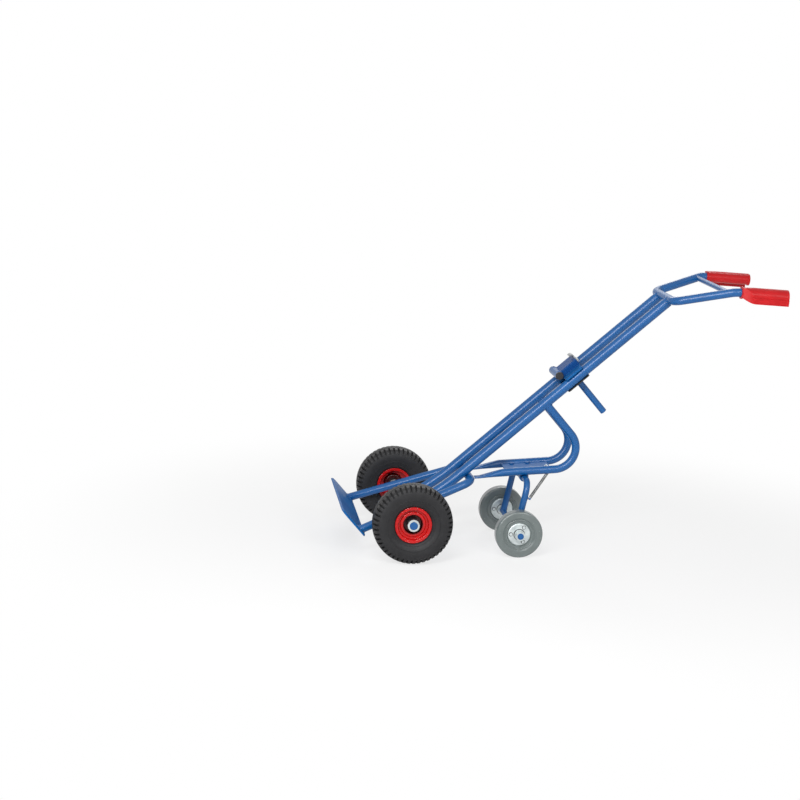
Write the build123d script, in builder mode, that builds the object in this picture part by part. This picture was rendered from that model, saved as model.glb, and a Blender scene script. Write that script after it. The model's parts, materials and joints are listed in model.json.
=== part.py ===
from build123d import *
import os
from math import acos, cos, degrees, dist, pi, radians, sin, sqrt, tan

os.makedirs("parts", exist_ok=True)

# Stance on all four wheels: floor at zero, toe toward -X, handle toward +X, left side toward -Y
rail_tilt = 42.85  # slope of the rails
wheelbase = 368.5  # main axle to support axle

# Clearances
weld_gap = 0.15  # root gap under a weld
fit_gap = 0.05  # radial fit on a shaft or in a bore
seat_gap = 0.05  # between flat faces that are bolted or welded together
play = 0.4  # end play beside a turning hub
slide_gap = 0.35  # between the rails and what slides on them
bolt_gap = 0.25  # radial, round a bolt
stop_gap = 0.3  # at the fork stop

# Main wheels, 260 x 85 air tyres on split rims
main_tyre_d = 260.0
main_tyre_w = 85.0
main_wheel_y = 271.0
tyre_wall = 7.5
tread_half = 30.0
crown_drop = 3.5
shoulder_drop = 9.0
shoulder_half = 37.5
bead_half = 13.0
bead_rise = 14.0
lug_count = 48
lug_gap = 6.5
lug_depth = 6.5
lug_start = 15.0
lug_run = 19.0
groove_y = 8.0
groove_w = 4.0
groove_depth = 5.0
rim_d = 102.0
rim_flange_d = 115.0
rim_half_w = 28.0
rim_sheet = 2.0
rim_bend_r = 3.0
rim_lip_r = 1.9
rim_web_y = 12.0
rim_boss_d = 81.0
rim_boss_h = 3.0
rim_boss_run = 2.0
rim_cup_d = 60.0
rim_cup_depth = 17.0
hub_d = 38.0
hub_len = 54.0
bearing_d = 32.0
axle_d = 25.0
collar_d = 39.0
collar_w = 9.0
axle_proud = 1.5
edge_break = 1.0

# Support wheels, solid rubber on pressed discs
support_tyre_d = 156.0
support_tyre_w = 40.0
support_wheel_y = 166.0
support_shoulder_r = 7.0
ridge_d = 98.0
ridge_r = 2.2
disc_d = 76.0
disc_half_w = 13.5
disc_sheet = 2.0
disc_bend_r = 3.0
disc_groove = 3.0
support_hub_d = 34.0
support_hub_len = 44.0
support_axle_d = 20.0
support_ring_d = 30.0
support_ring_w = 18.0
rivet_count = 3
rivet_circle_d = 56.0
rivet_turn = -30.0
rivet_d = 6.0
rivet_head_d = 10.0
rivet_head_h = 2.2

# Support fork and its pivot
pivot_x = 397.0
pivot_rise = 110.5
fork_d = 21.3
fork_wall = 2.0
fork_leg_y = 125.0
fork_bend_r = 38.0
fork_mouth = 5.0
pivot_gap = 0.8  # fork bar below the bows
block_y = 33.0
block_w = 26.0
block_wall = 4.5
block_flange = 5.0
block_half = 38.0
bolt_d = 8.0
bolt_pitch = 54.0
hex_flat = 13.0
head_h = 5.3
nut_h = 6.5
bolt_tail = 3.0
stop_half_w = 14.0
stop_w = 10.0
stop_reach = 22.0

# Tension spring of the fork
wire_d = 1.8
hook_rod_d = 6.0
hook_nut_flat = 11.0
lock_nut_h = 2.6
hook_gap = 0.35
coil_turns = 26
hook_bend_r = 3.0
hook_neck = 4.0
hook_bolt_p = 77.0
hook_bolt_y = 36.0
hook_drop = 6.0
hook_rod_reach = 11.0
hook_rod_end = 5.0
pin_up_leg = 118.0
pin_reach = 6.0
settle_steps = 6  # passes that settle the spring's line between its hooks

# Rails, bows and plates
rail_d = 33.7
rail_wall = 2.6
rail_y = 62.4
rail_drop = 34.3
rail_bend_s = 165.0
rail_bend = 6.5
rail_bend_r = 500.0
rail_tail = 15.0
rail_mouth = 6.0
bow_d = 26.9
bow_wall = 2.3
bow_top_s = 578.0
bow_bend_r = 72.0
bow_slope = 5.5
bow_root = 8.0
press_start = 67.0
press_mid = 110.0
press_end = 152.0
press_mid_half_w = 15.5
press_mid_half_h = 9.0
press_half_w = 18.5
press_half_h = 3.5
plate_t = 5.0
plate_front = 60.0
plate_back = 92.0
plate_corner_r = 6.0

# Lower frame and toe plate
frame_d = 26.9
frame_wall = 2.3
cross_s = 226.0
cross_half = 113.0
cross_bend_r = 42.0
leg_toe_y = 211.0
leg_toe_h = 77.0
toe_s = -143.0
toe_t = 6.0
toe_heel_h = 57.0
toe_tip_h = 170.0
toe_w = 470.0
toe_corner_r = 28.0
toe_heel_r = 8.0
toe_bevel = 3.0

# Handle and grips
handle_d = 28.0
handle_wall = 2.5
handle_s = 1110.0
handle_rise = 4.0
handle_half = 125.0
handle_bend_r = 45.0
grip_x = 1013.0
grip_y = 202.0
grip_rise = 782.5
grip_slope = -1.5
grip_bend_r = 55.0
grip_end_x = 1184.0
brace_d = 17.2
brace_wall = 2.0
brace_x = 996.0
grip_start = 17.5
grip_sleeve_d = 35.0
grip_wall = 3.5
grip_collar_d = 40.0
grip_collar_w = 5.0
grip_lip_d = 39.0
grip_lip_w = 6.0
hood_r = 25.0
hood_out = 10.0
guard_top = 20.5
guard_ledge = 2.0
crease_angle = 12.0
guard_low = 30.5
guard_tuck = 2.0
guard_flare = 46.0
grip_neck_low = 14.0
tube_short = 6.0

# Hook carriage and its clamp
carriage_s = 712.0
carriage_plate_len = 68.0
carriage_plate_w = 170.0
carriage_plate_t = 6.0
carriage_corner_r = 8.0
bracket_w = 78.0
bracket_top_h = 10.0
bracket_back = 36.0
bracket_sheet = 4.0
bar_d = 26.9
bar_wall = 2.3
bar_ahead = 41.0
bar_h = 4.5
bar_len = 106.0
cap_t = 4.0
cap_plug = 10.0
cap_round = 2.0
hook_w = 30.0
hook_t = 4.0
hook_top_h = 24.0
hook_bend_in_r = 4.0
hook_tip = 12.0
hook_bolt_d = 6.0
hook_bolt_spread = 18.0
hook_bolt_head_d = 10.0
hook_bolt_head_h = 4.0
guide_len = 30.0
guide_depth = 33.0
clamp_plate_len = 88.0
clamp_plate_w = 144.0
clamp_plate_down = 7.0
clamp_plate_t = 4.0
stud_d = 12.0
stud_top = 14.0
clamp_nut_flat = 19.0
clamp_nut_h = 10.0
washer_d = 30.0
washer_t = 3.0
spindle_d = 22.0
spindle_end_h = 204.0
spindle_round = 1.0
thrust_gap = 0.3

# Directions: u along the rails, n square to them toward the load, p and q along and square to the bows
rail_cos = cos(radians(rail_tilt))
rail_sin = sin(radians(rail_tilt))
bow_cos = cos(radians(bow_slope))
bow_sin = sin(radians(bow_slope))
u_dir = Vector(rail_cos, 0, rail_sin)
n_dir = Vector(-rail_sin, 0, rail_cos)
p_dir = Vector(bow_cos, 0, bow_sin)
q_dir = Vector(-bow_sin, 0, bow_cos)
y_dir = Vector(0, 1, 0)
x_dir = Vector(1, 0, 0)
z_dir = Vector(0, 0, 1)

# The origin lies midway between the toe's tip and the ends of the grips
toe_low_s = toe_s - toe_t
toe_tip_x = toe_low_s * rail_cos - toe_tip_h * rail_sin
axle_x = -(toe_tip_x + grip_end_x) / 2
axle_z = main_tyre_d / 2
support_z = support_tyre_d / 2
axle = Vector(axle_x, 0, axle_z)
support = Vector(axle_x + wheelbase, 0, support_z)
pivot = axle + x_dir * pivot_x + z_dir * pivot_rise
leg_dir = (pivot - support).normalized()
fork_rise = (pivot - support).length
bow_q = bow_d / 2 + fork_d / 2 + pivot_gap
plate_low_q = bow_q - plate_t / 2
plate_high_q = bow_q + plate_t / 2
rail_h = -rail_drop
rail_top_h = rail_h + rail_d / 2
rail_low_h = rail_h - rail_d / 2
cross_h = rail_low_h - weld_gap - frame_d / 2


def on_rails(s, h, y=0.0):
    return axle + u_dir * s + n_dir * h + y_dir * y


def on_bow(p, q, y=0.0):
    return pivot + p_dir * p + q_dir * q + y_dir * y


def rail_side(y=0.0):
    return Plane(origin=on_rails(0, 0, y), x_dir=u_dir, z_dir=-y_dir)


def rail_plan(h):
    return Plane(origin=on_rails(0, h), x_dir=u_dir, z_dir=n_dir)


def rail_cut(s):
    return Plane(origin=on_rails(s, 0), x_dir=y_dir, z_dir=u_dir)


def bow_side(y=0.0):
    return Plane(origin=on_bow(0, 0, y), x_dir=p_dir, z_dir=-y_dir)


def bow_cut(p, q, y):
    return Plane(origin=on_bow(p, q, y), x_dir=y_dir, z_dir=p_dir)


def bow_plan(p, q, y=0.0):
    return Plane(origin=on_bow(p, q, y), x_dir=p_dir, z_dir=q_dir)


def wheel_half(centre, y):
    """Half plane through a left wheel: local x is the radius, local y points outboard."""
    return Plane(origin=centre - y_dir * y, x_dir=z_dir, z_dir=x_dir)


def wheel_axis(centre):
    return Axis(centre, y_dir)


def save(solid, label):
    solid.label = label
    export_step(solid, f"parts/{label}.step")


def save_pair(solid, stem):
    save(solid, f"{stem}_left")
    save(mirror(solid, about=Plane.XZ), f"{stem}_right")


def bent_tube(points, bend_r, outer_d, wall):
    with BuildLine() as run:
        FilletPolyline(*points, radius=bend_r)
    with BuildSketch(Plane(origin=run.line @ 0, z_dir=run.line % 0)) as ring:
        Circle(outer_d / 2)
        Circle(outer_d / 2 - wall, mode=Mode.SUBTRACT)
    sweep(ring.sketch, path=run.line)


def straight_tube(start, end, outer_d, wall):
    with BuildSketch(Plane(origin=start, z_dir=end - start)) as ring:
        Circle(outer_d / 2)
        Circle(outer_d / 2 - wall, mode=Mode.SUBTRACT)
    extrude(ring.sketch, amount=(end - start).length)


def bar_between(start, end, bar_diameter, mode=Mode.ADD):
    with BuildSketch(Plane(origin=start, z_dir=end - start)) as disc:
        Circle(bar_diameter / 2)
    extrude(disc.sketch, amount=(end - start).length, mode=mode)


def cope(start, end, tube_d):
    bar_between(start, end, tube_d + 2 * weld_gap, Mode.SUBTRACT)


def ring_on(centre, y_start, y_end, outer_d, inner_d):
    with BuildSketch(Plane(origin=centre - y_dir * y_start, z_dir=-y_dir)) as ring:
        Circle(outer_d / 2)
        Circle(inner_d / 2, mode=Mode.SUBTRACT)
    extrude(ring.sketch, amount=y_end - y_start)


def hex_on(plane, flat, height):
    with BuildSketch(plane) as hexagon:
        RegularPolygon(radius=flat / 2, side_count=6, major_radius=False)
    extrude(hexagon.sketch, amount=height)


def round_on(plane, disc_diameter, height, mode=Mode.ADD):
    with BuildSketch(plane) as disc:
        Circle(disc_diameter / 2)
    extrude(disc.sketch, amount=height, mode=mode)


# Rails: straight from the handle, with one gentle bend toward the axle they are notched under
rail_tail_h = rail_h + (rail_bend_s + rail_tail) * tan(radians(rail_bend))
handle_h = rail_h + handle_rise
rail_head_s = handle_s - handle_d / 2 + rail_mouth
with BuildPart() as rail:
    bent_tube(
        [
            on_rails(-rail_tail, rail_tail_h, -rail_y),
            on_rails(rail_bend_s, rail_h, -rail_y),
            on_rails(rail_head_s, rail_h, -rail_y),
        ],
        rail_bend_r,
        rail_d,
        rail_wall,
    )
    cope(on_rails(0, 0, -2 * rail_y), on_rails(0, 0), axle_d)
    cope(on_rails(handle_s, handle_h, -2 * rail_y), on_rails(handle_s, handle_h), handle_d)
save_pair(rail.part, "rail")

# Lower frame: one tube crossing under the rails, legs splayed, notched over the axle, cut on the toe plate
leg_top = on_rails(cross_s, cross_h, -cross_half)
leg_foot = on_rails(toe_s, leg_toe_h, -leg_toe_y)
leg_over = (leg_foot - leg_top) * (toe_t / (leg_foot - leg_top).length)
leg_end = leg_foot + leg_over + leg_over
with BuildPart() as lower_frame:
    bent_tube(
        [
            leg_end,
            leg_top,
            Vector(leg_top.X, -leg_top.Y, leg_top.Z),
            Vector(leg_end.X, -leg_end.Y, leg_end.Z),
        ],
        cross_bend_r,
        frame_d,
        frame_wall,
    )
    cope(on_rails(0, 0, -leg_toe_y), on_rails(0, 0, leg_toe_y), axle_d)
    split(bisect_by=rail_cut(toe_s + weld_gap), keep=Keep.TOP)
save(lower_frame.part, "lower_frame")

# Toe plate: flat, round front corners, front edge bevelled to slide under a drum
with BuildPart() as toe_plate:
    with BuildSketch(rail_cut(toe_low_s)) as blade:
        with Locations((0, (toe_heel_h + toe_tip_h) / 2)):
            Rectangle(toe_w, toe_tip_h - toe_heel_h)
        fillet(blade.vertices().group_by(Axis.Y)[-1], toe_corner_r)
        fillet(blade.vertices().group_by(Axis.Y)[0], toe_heel_r)
    extrude(amount=toe_t)
    tip_edges = toe_plate.faces().sort_by(Axis(axle, u_dir))[-1].edges().sort_by(Axis(axle, n_dir))
    chamfer(tip_edges[-1], toe_bevel)
save(toe_plate.part, "toe_plate")

# Main axle with its collars and spacers
hub_out_y = main_wheel_y + hub_len / 2
hub_in_y = main_wheel_y - hub_len / 2
axle_half = hub_out_y + play + collar_w + axle_proud
with BuildPart() as main_axle:
    bar_between(axle - y_dir * axle_half, axle + y_dir * axle_half, axle_d)
    chamfer(main_axle.edges().filter_by(GeomType.CIRCLE), edge_break)
save(main_axle.part, "main_axle")

axle_bore_d = axle_d + 2 * fit_gap
with BuildPart() as axle_collar:
    ring_on(axle, hub_out_y + play, hub_out_y + play + collar_w, collar_d, axle_bore_d)
    chamfer(axle_collar.faces().sort_by(Axis.Y)[0].edges(), edge_break)
    mirror(about=Plane.XZ)
save(axle_collar.part, "axle_collars")

with BuildPart() as axle_spacer:
    ring_on(axle, hub_in_y - play - collar_w, hub_in_y - play, collar_d, axle_bore_d)
    mirror(about=Plane.XZ)
save(axle_spacer.part, "axle_spacers")

# Main tyre: crowned tread, bulging walls, bead between the rim flanges, staggered lugs down both shoulders
main_half = wheel_half(axle, main_wheel_y)
main_r = main_tyre_d / 2
seat_r = rim_d / 2 + weld_gap
flange_in = rim_half_w - rim_sheet / 2 - rim_lip_r - weld_gap
flange_r = rim_flange_d / 2 + rim_lip_r
wall_half = main_tyre_w / 2
wall_r = (main_r + flange_r) / 2
lug_turn = 360.0 / lug_count
with BuildPart() as lug_cut:
    with BuildSketch(main_half):
        with BuildLine():
            Polyline(
                (main_r + lug_depth, lug_start),
                (main_r - lug_depth, lug_start),
                (main_r - lug_run, wall_half),
                (main_r + lug_depth, wall_half),
                close=True,
            )
        make_face()
    extrude(amount=lug_gap / 2, both=True)

wheel_mid = Plane(origin=axle - y_dir * main_wheel_y, z_dir=y_dir)
outer_cuts = [lug_cut.part.rotate(wheel_axis(axle), lug_turn * k) for k in range(lug_count)]
inner_cuts = [mirror(cut, about=wheel_mid).rotate(wheel_axis(axle), lug_turn / 2) for cut in outer_cuts]
with BuildPart() as main_tyre:
    with BuildSketch(main_half) as tyre_section:
        with BuildLine():
            crown = ThreePointArc(
                (main_r, 0),
                (main_r - crown_drop / 4, tread_half / 2),
                (main_r - crown_drop, tread_half),
            )
            shoulder = Line(crown @ 1, (main_r - shoulder_drop, shoulder_half))
            wall = ThreePointArc(
                shoulder @ 1,
                (wall_r, wall_half),
                (flange_r + tyre_wall / 2, rim_half_w + rim_sheet),
            )
            bead = Polyline(
                wall @ 1,
                (flange_r, flange_in),
                (seat_r + rim_bend_r, flange_in),
                (seat_r, flange_in - rim_bend_r),
                (seat_r, bead_half),
                (seat_r + bead_rise, bead_half),
            )
            liner = ThreePointArc(
                bead @ 1,
                (wall_r, wall_half - tyre_wall),
                (main_r - lug_depth - tyre_wall, bead_half),
            )
            Line(liner @ 1, (main_r - lug_depth - tyre_wall, 0))
            mirror(about=Plane.XZ)
        make_face()
    revolve(axis=wheel_axis(axle))
    with BuildSketch(main_half):
        with Locations((main_r, groove_y), (main_r, -groove_y)):
            Rectangle(2 * groove_depth, groove_w)
    revolve(axis=wheel_axis(axle), mode=Mode.SUBTRACT)
    add(outer_cuts + inner_cuts, mode=Mode.SUBTRACT)
save_pair(main_tyre.part, "main_tyre")

# Split rim: pressed halves back to back, the outer one raised round a deep cup to the hub
sheet_r = rim_d / 2 - rim_sheet / 2
flange_y = rim_half_w - rim_sheet / 2
lip_r = rim_flange_d / 2
boss_r = rim_boss_d / 2
boss_y = rim_web_y + rim_boss_h
cup_r = rim_cup_d / 2
web_end_r = hub_d / 2 + weld_gap
with BuildPart() as rim_outer:
    with BuildSketch(main_half) as outer_sheet:
        with BuildLine() as outer_line:
            FilletPolyline(
                (lip_r, flange_y),
                (sheet_r, flange_y),
                (sheet_r, rim_web_y),
                (boss_r + rim_boss_run / 2, rim_web_y),
                (boss_r - rim_boss_run / 2, boss_y),
                (cup_r, boss_y),
                (cup_r, boss_y - rim_cup_depth),
                (web_end_r, boss_y - rim_cup_depth),
                radius=rim_bend_r,
            )
        trace(line_width=rim_sheet)
        with Locations((lip_r, flange_y)):
            Circle(rim_lip_r)
    revolve(axis=wheel_axis(axle))
save_pair(rim_outer.part, "rim_outer")

inner_web_y = rim_web_y - rim_sheet - weld_gap
with BuildPart() as rim_inner:
    with BuildSketch(main_half) as inner_sheet:
        with BuildLine() as inner_line:
            FilletPolyline(
                (lip_r, -flange_y),
                (sheet_r, -flange_y),
                (sheet_r, inner_web_y),
                (cup_r + rim_sheet / 2 + rim_bend_r, inner_web_y),
                radius=rim_bend_r,
            )
        trace(line_width=rim_sheet)
        with Locations((lip_r, -flange_y)):
            Circle(rim_lip_r)
    revolve(axis=wheel_axis(axle))
save_pair(rim_inner.part, "rim_inner")

with BuildPart() as main_hub:
    ring_on(axle, hub_in_y, hub_out_y, hub_d, bearing_d)
    chamfer(main_hub.edges().filter_by(GeomType.CIRCLE).group_by(SortBy.RADIUS)[-1], edge_break)
save_pair(main_hub.part, "main_hub")

with BuildPart() as main_bearing:
    ring_on(axle, hub_in_y + edge_break, hub_out_y - edge_break, bearing_d - 2 * fit_gap, axle_bore_d)
save_pair(main_bearing.part, "main_bearing")

# Bows: down from the rails, round, and forward; the front ends pressed flat on to the lower frame
s_at_bow = (on_bow(0, bow_q) - axle).dot(u_dir)
corner_p = (bow_top_s - s_at_bow) / p_dir.dot(u_dir)
press_low = bow_q - bow_d / 2
cross_axis = on_rails(cross_s, cross_h)
with BuildPart() as bow:
    bent_tube(
        [
            on_rails(bow_top_s, rail_h - bow_root, -rail_y),
            on_bow(corner_p, bow_q, -rail_y),
            on_bow(-press_start, bow_q, -rail_y),
        ],
        bow_bend_r,
        bow_d,
        bow_wall,
    )
    with BuildSketch(bow_cut(-press_start, bow_q, -rail_y)):
        Circle(bow_d / 2)
    with BuildSketch(bow_cut(-press_mid, press_low + press_mid_half_h, -rail_y)):
        Ellipse(press_mid_half_w, press_mid_half_h)
    with BuildSketch(bow_cut(-press_end, press_low + press_half_h, -rail_y)):
        Ellipse(press_half_w, press_half_h)
    loft()
    tongue_p = (cross_axis - pivot).dot(p_dir)
    with BuildSketch(bow_cut(tongue_p, press_low + press_half_h, -rail_y)):
        Ellipse(press_half_w, press_half_h)
    extrude(amount=-tongue_p - press_end)
    cope(cross_axis - y_dir * 2 * rail_y, cross_axis, frame_d)
    cope(on_rails(0, rail_h, -rail_y), on_rails(rail_head_s, rail_h, -rail_y), rail_d)
save_pair(bow.part, "bow")

# Plate between the bows, with the bolt holes of the pivot blocks and of the spring bolt
plate_half = rail_y - bow_d / 2 - weld_gap
bolt_spots = [
    (sign * bolt_pitch / 2, side * block_y)
    for sign in (-1, 1)
    for side in (-1, 1)
]
with BuildPart() as bow_plate:
    with BuildSketch(bow_plan(0, plate_low_q)) as plate_face:
        with Locations(((plate_back - plate_front) / 2, 0)):
            RectangleRounded(plate_front + plate_back, 2 * plate_half, plate_corner_r)
        with Locations(*bolt_spots):
            Circle(bolt_d / 2 + bolt_gap, mode=Mode.SUBTRACT)
        with Locations((hook_bolt_p, -hook_bolt_y)):
            Circle(hook_rod_d / 2 + bolt_gap, mode=Mode.SUBTRACT)
    extrude(amount=plate_t)
save(bow_plate.part, "bow_plate")

# Pivot blocks: flanged blocks bored for the fork's bar
block_top_q = plate_low_q - seat_gap
block_r = fork_d / 2 + block_wall
with BuildPart() as pivot_block:
    with BuildSketch(bow_side(-block_y + block_w / 2)) as block_face:
        Circle(block_r)
        with Locations((0, block_top_q / 2)):
            Rectangle(2 * block_r, block_top_q)
        with Locations((0, block_top_q - block_flange / 2)):
            Rectangle(2 * block_half, block_flange)
        Circle(fork_d / 2 + fit_gap, mode=Mode.SUBTRACT)
    extrude(amount=block_w)
    for sign in (-1, 1):
        round_on(
            bow_plan(sign * bolt_pitch / 2, block_top_q - block_flange, -block_y),
            bolt_d + 2 * bolt_gap,
            block_flange,
            Mode.SUBTRACT,
        )
save_pair(pivot_block.part, "pivot_block")

nut_top_q = block_top_q - block_flange - seat_gap
with BuildPart() as pivot_bolts:
    for spot_p, spot_y in bolt_spots:
        hex_on(bow_plan(spot_p, plate_high_q + seat_gap, spot_y), hex_flat, head_h)
        hex_on(bow_plan(spot_p, nut_top_q - nut_h, spot_y), hex_flat, nut_h)
        tail_q = nut_top_q - nut_h - bolt_tail
        round_on(bow_plan(spot_p, tail_q, spot_y), bolt_d, plate_high_q + head_h / 2 - tail_q)
save(pivot_bolts.part, "pivot_bolts")

# Support fork: a tube bent to a U over the support axle, notched on to it; its bar turns in the blocks
fork_plane = Plane(origin=support, x_dir=y_dir, z_dir=y_dir.cross(leg_dir))
with BuildPart() as fork_tube:
    bent_tube(
        [
            fork_plane.from_local_coords((-fork_leg_y, fork_mouth, 0)),
            fork_plane.from_local_coords((-fork_leg_y, fork_rise, 0)),
            fork_plane.from_local_coords((fork_leg_y, fork_rise, 0)),
            fork_plane.from_local_coords((fork_leg_y, fork_mouth, 0)),
        ],
        fork_bend_r,
        fork_d,
        fork_wall,
    )
    cope(support - y_dir * support_wheel_y, support + y_dir * support_wheel_y, support_axle_d)
save(fork_tube.part, "fork_tube")

# Stop: a lug on the bar that meets the plate when the fork stands
stop_top_q = plate_low_q - stop_gap
with BuildPart() as fork_stop:
    with BuildSketch(bow_side(stop_half_w)) as stop_face:
        with BuildLine():
            Polyline(
                (-fork_d / 4, fork_d / 4),
                (-stop_reach + stop_w, stop_top_q),
                (-stop_reach, stop_top_q),
                (-stop_reach, fork_d / 2),
                (-fork_d / 2, 0),
                close=True,
            )
        make_face()
    extrude(amount=2 * stop_half_w)
    cope(pivot - y_dir * 2 * stop_half_w, pivot + y_dir * 2 * stop_half_w, fork_d)
save(fork_stop.part, "fork_stop")

support_out_y = support_wheel_y + support_hub_len / 2
support_in_y = support_wheel_y - support_hub_len / 2
ring_in_y = support_out_y + play
support_axle_half = ring_in_y + support_ring_w + axle_proud
with BuildPart() as support_axle:
    bar_between(support - y_dir * support_axle_half, support + y_dir * support_axle_half, support_axle_d)
    chamfer(support_axle.edges().filter_by(GeomType.CIRCLE), edge_break)
save(support_axle.part, "support_axle")

support_bore_d = support_axle_d + 2 * fit_gap
with BuildPart() as axle_ring:
    ring_on(support, ring_in_y, ring_in_y + support_ring_w, support_ring_d, support_bore_d)
    chamfer(axle_ring.faces().sort_by(Axis.Y)[0].edges(), edge_break)
    mirror(about=Plane.XZ)
save(axle_ring.part, "axle_rings")

with BuildPart() as support_spacer:
    ring_on(support, fork_leg_y + fork_d / 2 + weld_gap, support_in_y - play, support_ring_d, support_bore_d)
    mirror(about=Plane.XZ)
save(support_spacer.part, "support_spacers")

# Support wheel: rubber tyre with a ridge round its side, two pressed discs, a hub and three rivets
support_half = wheel_half(support, support_wheel_y)
support_r = support_tyre_d / 2
disc_r = disc_d / 2
rubber_half = support_tyre_w / 2
with BuildPart() as support_tyre:
    with BuildSketch(support_half) as rubber:
        with BuildLine():
            Polyline(
                (disc_r + weld_gap, 0),
                (disc_r + weld_gap, disc_half_w - disc_groove),
                (disc_r + weld_gap + disc_groove, disc_half_w),
                (ridge_d / 2, disc_half_w + ridge_r / 2),
                (ridge_d / 2 + support_shoulder_r, rubber_half),
                (support_r, rubber_half),
                (support_r, 0),
            )
            mirror(about=Plane.XZ)
        make_face()
        fillet(rubber.vertices().group_by(Axis.X)[-1], support_shoulder_r)
        with Locations((ridge_d / 2, disc_half_w + ridge_r / 2), (ridge_d / 2, -disc_half_w - ridge_r / 2)):
            Circle(ridge_r)
    revolve(axis=wheel_axis(support))
save_pair(support_tyre.part, "support_tyre")

support_hub_r = support_hub_d / 2
disc_wall_r = disc_r - disc_sheet / 2
disc_face_y = disc_half_w - disc_sheet / 2
for side, stem in ((1, "disc_outer"), (-1, "disc_inner")):
    with BuildPart() as disc:
        with BuildSketch(support_half) as disc_sheet_face:
            with BuildLine():
                FilletPolyline(
                    (disc_wall_r, side * seat_gap),
                    (disc_wall_r, side * disc_face_y),
                    (support_hub_r + weld_gap, side * disc_face_y),
                    radius=disc_bend_r,
                )
            trace(line_width=disc_sheet)
        revolve(axis=wheel_axis(support))
        with Locations(Plane(origin=support - y_dir * support_wheel_y, x_dir=z_dir, z_dir=-y_dir)):
            with PolarLocations(rivet_circle_d / 2, rivet_count, start_angle=rivet_turn):
                Cylinder(rivet_d / 2 + fit_gap, support_tyre_w, mode=Mode.SUBTRACT)
    save_pair(disc.part, stem)

with BuildPart() as support_hub:
    ring_on(support, support_in_y, support_out_y, support_hub_d, support_bore_d)
    chamfer(support_hub.edges().filter_by(GeomType.CIRCLE).group_by(SortBy.RADIUS)[-1], edge_break)
save_pair(support_hub.part, "support_hub")

head_mid_y = disc_half_w + seat_gap + rivet_head_h / 2
with BuildPart() as disc_rivets:
    with Locations(Plane(origin=support - y_dir * support_wheel_y, x_dir=z_dir, z_dir=-y_dir)):
        with PolarLocations(rivet_circle_d / 2, rivet_count, start_angle=rivet_turn):
            Cylinder(rivet_d / 2, 2 * head_mid_y)
            with Locations((0, 0, head_mid_y), (0, 0, -head_mid_y)):
                Cylinder(rivet_head_d / 2, rivet_head_h)
save_pair(disc_rivets.part, "disc_rivets")

# Spring: hooked on a bent bolt under the plate and on a pin of the left leg
bolt_low = on_bow(hook_bolt_p, plate_low_q - hook_drop, -hook_bolt_y)
pin_root = support + leg_dir * pin_up_leg - y_dir * fork_leg_y
hook_top = bolt_low
hook_low = pin_root
for settle in range(settle_steps):
    pull = (hook_low - hook_top).normalized()
    rod_dir = pull.cross(z_dir).normalized()
    pin_dir = (x_dir - pull * pull.X).normalized()
    hook_top = bolt_low - rod_dir * hook_rod_reach
    hook_low = pin_root + pin_dir * (fork_d / 2 + pin_reach)

with BuildPart() as spring_hook_bolt:
    with BuildLine() as hook_run:
        FilletPolyline(
            on_bow(hook_bolt_p, plate_high_q + nut_h + bolt_tail, -hook_bolt_y),
            bolt_low,
            hook_top - rod_dir * hook_rod_end,
            radius=hook_rod_d,
        )
    with BuildSketch(Plane(origin=hook_run.line @ 0, z_dir=hook_run.line % 0)):
        Circle(hook_rod_d / 2)
    sweep(path=hook_run.line)
    lock_nut_q = plate_low_q - seat_gap - lock_nut_h
    hex_on(bow_plan(hook_bolt_p, plate_high_q + seat_gap, -hook_bolt_y), hook_nut_flat, nut_h)
    hex_on(bow_plan(hook_bolt_p, lock_nut_q, -hook_bolt_y), hook_nut_flat, lock_nut_h)
save(spring_hook_bolt.part, "spring_hook_bolt")

with BuildPart() as spring_pin:
    bar_between(pin_root, hook_low + pin_dir * hook_rod_end, hook_rod_d)
    cope(support - y_dir * fork_leg_y, support + leg_dir * fork_rise - y_dir * fork_leg_y, fork_d)
save(spring_pin.part, "spring_pin")

coil_r = hook_rod_d / 2 + hook_gap + wire_d / 2
hook_len = hook_bend_r + hook_neck
coil_len = (hook_low - hook_top).length - 2 * hook_len
top_out = pull.cross(rod_dir).normalized()
low_out = pull.cross(pin_dir).normalized()
phase_y = -top_out
phase_x = phase_y.cross(pull)
swing = (-low_out).dot(phase_x)
reach = (-low_out).dot(phase_y)
last_turn = Vector(reach, swing, 0).get_signed_angle(x_dir, z_dir)
coil_angle = 2 * pi * coil_turns - radians(last_turn)
half_turns = 2 * coil_turns
rise = coil_len / coil_angle


def coil_point(angle):
    spoke = phase_y * cos(angle) + phase_x * sin(angle)
    return hook_top + pull * (hook_len + rise * angle) + spoke * coil_r


def coil_tangent(angle):
    sweep_dir = phase_x * cos(angle) - phase_y * sin(angle)
    return (sweep_dir * coil_r + pull * rise).normalized()


def biarc(start, start_dir, end, end_dir):
    span = end - start
    both = start_dir + end_dir
    apart = 1 - start_dir.dot(end_dir)
    ahead = span.dot(both)
    step = (sqrt(ahead * ahead + 2 * apart * span.dot(span)) - ahead) / (2 * apart)
    first = start + start_dir * step
    second = end - end_dir * step
    middle = (first + second) / 2
    TangentArc(start, middle, tangent=start_dir)
    TangentArc(middle, end, tangent=(second - first).normalized())


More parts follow.
